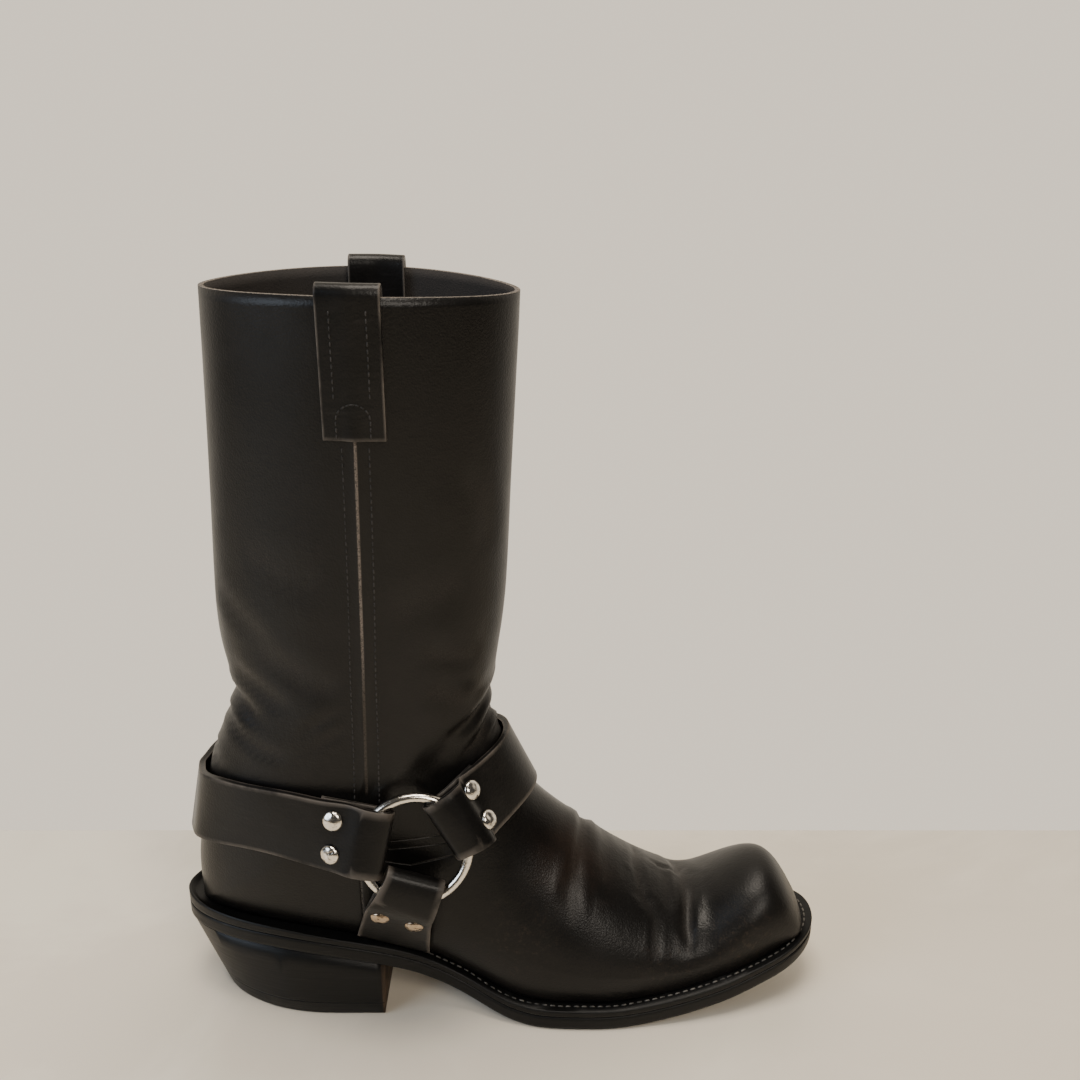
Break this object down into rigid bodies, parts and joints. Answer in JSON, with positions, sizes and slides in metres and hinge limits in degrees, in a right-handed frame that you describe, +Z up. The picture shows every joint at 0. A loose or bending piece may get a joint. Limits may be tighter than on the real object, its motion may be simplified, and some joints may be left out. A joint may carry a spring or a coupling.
{
  "type": "harness boot",
  "caption": "Black leather harness boot for the right foot, with a tall pull-on shaft, a square toe, ring harness and a stacked heel.",
  "frame": {"origin": "on the floor under the middle of the heel's flat base", "axes": "+X towards the toe, +Y to the medial side, +Z up the shaft"},
  "size_m": [0.305, 0.1128, 0.3444],
  "materials": {
    "upper_leather": "waxed satin black leather with creases",
    "strap_leather": "thick waxed black strap leather with worn edges",
    "sole_rubber": "satin black sole edge",
    "heel_stack": "satin black stacked leather",
    "insole_leather": "matt tan leather",
    "nickel": "polished nickel plate, scratched"
  },
  "bodies": {
    "root": {"upper": "upper_leather", "insole": "insole_leather", "welt": "sole_rubber", "outsole": "sole_rubber", "heel": "heel_stack", "heel_strap": "strap_leather", "instep_strap": "strap_leather", "lateral_base_strap": "strap_leather", "lateral_ring": "nickel", "lateral_pull_strap": "strap_leather", "lateral_heel_rivet_1": "nickel", "lateral_heel_rivet_2": "nickel", "lateral_instep_rivet_1": "nickel", "lateral_instep_rivet_2": "nickel", "lateral_base_rivet_1": "nickel", "lateral_base_rivet_2": "nickel", "medial_base_strap": "strap_leather", "medial_ring": "nickel", "medial_pull_strap": "strap_leather", "medial_heel_rivet_1": "nickel", "medial_heel_rivet_2": "nickel", "medial_instep_rivet_1": "nickel", "medial_instep_rivet_2": "nickel", "medial_base_rivet_1": "nickel", "medial_base_rivet_2": "nickel"}
  },
  "joints": []
}
